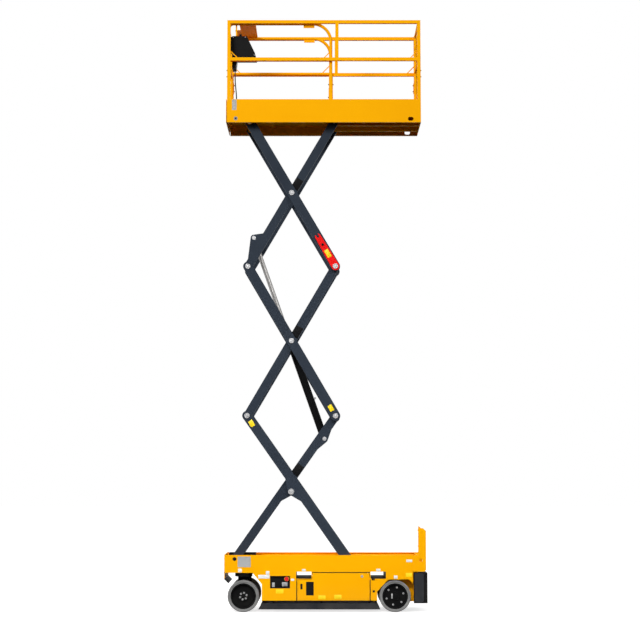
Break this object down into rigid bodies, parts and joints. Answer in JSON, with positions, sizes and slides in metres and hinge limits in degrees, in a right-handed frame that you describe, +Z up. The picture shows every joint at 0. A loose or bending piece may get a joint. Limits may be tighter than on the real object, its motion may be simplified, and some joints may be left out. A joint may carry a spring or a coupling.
{
  "type": "scissor lift",
  "caption": "Self-propelled slab scissor lift, raised: wheeled chassis with drop guards, crossed arm stack with lift cylinder, railed platform with sliding extension deck.",
  "frame": {"origin": "on the ground under the middle of the overall length and width", "axes": "+X towards the rear ladder, +Y to the right side, +Z up"},
  "size_m": [2.48, 0.81, 7.3389],
  "materials": {
    "yellow_paint": "gloss yellow paint",
    "arm_paint": "satin dark blue-grey paint",
    "pin_steel": "zinc-plated steel",
    "black_metal": "satin black paint",
    "guard_grey": "dark grey paint",
    "black_plastic": "moulded black",
    "red_paint": "gloss red paint",
    "red_plastic": "moulded red",
    "tyre_grey": "solid grey rubber",
    "rod_chrome": "hard chrome",
    "battery_case": "heavy dark battery and hydraulic blocks",
    "cable_rubber": "black cable jacket"
  },
  "bodies": {
    "chassis": {"chassis_side_left": "yellow_paint", "chassis_side_right": "yellow_paint", "scissor_deck": "yellow_paint", "fork_tunnels": "yellow_paint", "valve_block": "black_metal", "battery_tray": "yellow_paint", "battery_pack": "battery_case", "hydraulic_unit": "battery_case", "front_bumper": "yellow_paint", "roller_channels": "yellow_paint", "rear_step": "black_plastic", "entry_ladder": "yellow_paint", "tie_down_lugs": "yellow_paint", "ground_panel": "black_plastic", "stop_button": "red_plastic", "rear_axle_stubs": "black_metal", "base_pin": "pin_steel"},
    "low_inner": {"arm_low_inner": "arm_paint", "low_inner_pins": "pin_steel"},
    "low_outer": {"arm_low_outer": "arm_paint", "low_outer_pins": "pin_steel"},
    "mid_outer": {"arm_mid_outer": "arm_paint", "mid_outer_pins": "pin_steel"},
    "mid_inner": {"arm_mid_inner": "arm_paint", "mid_inner_pins": "pin_steel"},
    "top_inner": {"arm_top_inner": "arm_paint", "top_inner_pins": "pin_steel"},
    "top_outer": {"arm_top_outer": "arm_paint", "top_outer_pins": "pin_steel"},
    "barrel": {"lift_barrel": "black_metal"},
    "rod": {"lift_rod": "rod_chrome"},
    "prop": {"maintenance_prop": "red_paint"},
    "platform": {"platform_deck": "yellow_paint", "platform_rails": "yellow_paint", "outlet_bracket": "pin_steel"},
    "gate": {"entry_gate": "yellow_paint"},
    "extension": {"extension_deck": "yellow_paint", "extension_rails": "yellow_paint", "control_box": "black_plastic", "control_cable": "cable_rubber"},
    "door_left": {"tray_door_left": "yellow_paint"},
    "door_right": {"tray_door_right": "yellow_paint"},
    "guard_left": {"pothole_guard_left": "guard_grey"},
    "guard_right": {"pothole_guard_right": "guard_grey"},
    "knuckle_left": {"steer_knuckle_left": "black_metal"},
    "knuckle_right": {"steer_knuckle_right": "black_metal"},
    "tie": {"tie_rod": "black_metal"},
    "wheel_front_left": {"tyre_front_left": "tyre_grey", "rim_front_left": "black_metal"},
    "wheel_front_right": {"tyre_front_right": "tyre_grey", "rim_front_right": "black_metal"},
    "wheel_rear_left": {"tyre_rear_left": "tyre_grey", "rim_rear_left": "black_metal"},
    "wheel_rear_right": {"tyre_rear_right": "tyre_grey", "rim_rear_right": "black_metal"}
  },
  "joints": [
    {"name": "lift", "type": "hinge", "parent": "chassis", "child": "low_inner", "pos_m": [-1.1115, 0, 0.624], "axis": [0, -1, 0], "range_deg": [-55.63, 0]},
    {"name": "low_cross", "type": "hinge", "parent": "low_inner", "child": "low_outer", "pos_m": [-0.41901, 0, 1.45016], "axis": [0, -1, 0], "range_deg": [0, 111.26]},
    {"name": "mid_outer_hinge", "type": "hinge", "parent": "low_inner", "child": "mid_outer", "pos_m": [0.12601, 0, 2.38023], "axis": [0, -1, 0], "range_deg": [0, 111.26]},
    {"name": "mid_cross", "type": "hinge", "parent": "mid_outer", "child": "mid_inner", "pos_m": [-0.41901, 0, 3.31031], "axis": [0, -1, 0], "range_deg": [-111.26, 0]},
    {"name": "top_inner_hinge", "type": "hinge", "parent": "mid_outer", "child": "top_inner", "pos_m": [-0.96403, 0, 4.24038], "axis": [0, -1, 0], "range_deg": [-111.26, 0]},
    {"name": "top_cross", "type": "hinge", "parent": "top_inner", "child": "top_outer", "pos_m": [-0.41901, 0, 5.17046], "axis": [0, -1, 0], "range_deg": [0, 111.26]},
    {"name": "platform_hinge", "type": "hinge", "parent": "top_outer", "child": "platform", "pos_m": [-0.94987, 0, 6.07638], "axis": [0, -1, 0], "range_deg": [-55.63, 0]},
    {"name": "barrel_swing", "type": "hinge", "parent": "low_inner", "child": "barrel", "pos_m": [-0.00995, 0, 2.10048], "axis": [0, -1, 0], "range_deg": [0, 113.34]},
    {"name": "rod_stroke", "type": "slide", "parent": "barrel", "child": "rod", "axis": [-0.3324, 0, 0.9432], "range_m": [-1.11566, 0]},
    {"name": "prop_swing", "type": "hinge", "parent": "top_outer", "child": "prop", "pos_m": [0.12601, -0.276, 4.24038], "axis": [0, -1, 0], "range_deg": [0, 150]},
    {"name": "extension_slide", "type": "slide", "parent": "platform", "child": "extension", "axis": [-1, 0, 0], "range_m": [0, 0.9]},
    {"name": "gate_swing", "type": "hinge", "parent": "platform", "child": "gate", "pos_m": [1.169, 0.286, 6.48], "axis": [0, 0, 1], "range_deg": [0, 90]},
    {"name": "door_left_swing", "type": "hinge", "parent": "chassis", "child": "door_left", "pos_m": [0.5355, -0.399, 0.315], "axis": [0, 0, 1], "range_deg": [0, 100]},
    {"name": "door_right_swing", "type": "hinge", "parent": "chassis", "child": "door_right", "pos_m": [0.5355, 0.399, 0.315], "axis": [0, 0, -1], "range_deg": [0, 100]},
    {"name": "guard_left_fold", "type": "hinge", "parent": "chassis", "child": "guard_left", "pos_m": [0, -0.387, 0.12], "axis": [-1, 0, 0], "range_deg": [-90, 0]},
    {"name": "guard_right_fold", "type": "hinge", "parent": "chassis", "child": "guard_right", "pos_m": [0, 0.387, 0.12], "axis": [1, 0, 0], "range_deg": [-90, 0]},
    {"name": "steer_left", "type": "hinge", "parent": "chassis", "child": "knuckle_left", "pos_m": [-0.995, -0.29, 0.5], "axis": [0, 0, 1], "range_deg": [-45, 45]},
    {"name": "steer_right", "type": "hinge", "parent": "chassis", "child": "knuckle_right", "pos_m": [-0.995, 0.29, 0.5], "axis": [0, 0, 1], "range_deg": [-45, 45]},
    {"name": "tie_pivot", "type": "hinge", "parent": "knuckle_left", "child": "tie", "pos_m": [-0.915, -0.29, 0.475], "axis": [0, 0, 1], "range_deg": [-45, 45]},
    {"name": "wheel_front_left_spin", "type": "hinge", "parent": "knuckle_left", "child": "wheel_front_left", "pos_m": [-0.995, -0.3365, 0.1905], "axis": [0, 1, 0], "continuous": true},
    {"name": "wheel_front_right_spin", "type": "hinge", "parent": "knuckle_right", "child": "wheel_front_right", "pos_m": [-0.995, 0.3365, 0.1905], "axis": [0, 1, 0], "continuous": true},
    {"name": "wheel_rear_left_spin", "type": "hinge", "parent": "chassis", "child": "wheel_rear_left", "pos_m": [0.845, -0.3365, 0.1905], "axis": [0, 1, 0], "continuous": true},
    {"name": "wheel_rear_right_spin", "type": "hinge", "parent": "chassis", "child": "wheel_rear_right", "pos_m": [0.845, 0.3365, 0.1905], "axis": [0, 1, 0], "continuous": true}
  ],
  "couplings": [
    {"joint": "low_cross", "follows": "lift", "ratio": -2},
    {"joint": "mid_outer_hinge", "follows": "lift", "ratio": -2},
    {"joint": "mid_cross", "follows": "lift", "ratio": 2},
    {"joint": "top_inner_hinge", "follows": "lift", "ratio": 2},
    {"joint": "top_cross", "follows": "lift", "ratio": -2},
    {"joint": "platform_hinge", "follows": "lift", "ratio": 1},
    {"joint": "barrel_swing", "follows": "lift", "ratio": -2.0374},
    {"joint": "rod_stroke", "follows": "lift", "m_per_rad": 1.1491},
    {"joint": "steer_right", "follows": "steer_left", "ratio": 1},
    {"joint": "tie_pivot", "follows": "steer_left", "ratio": -1}
  ]
}
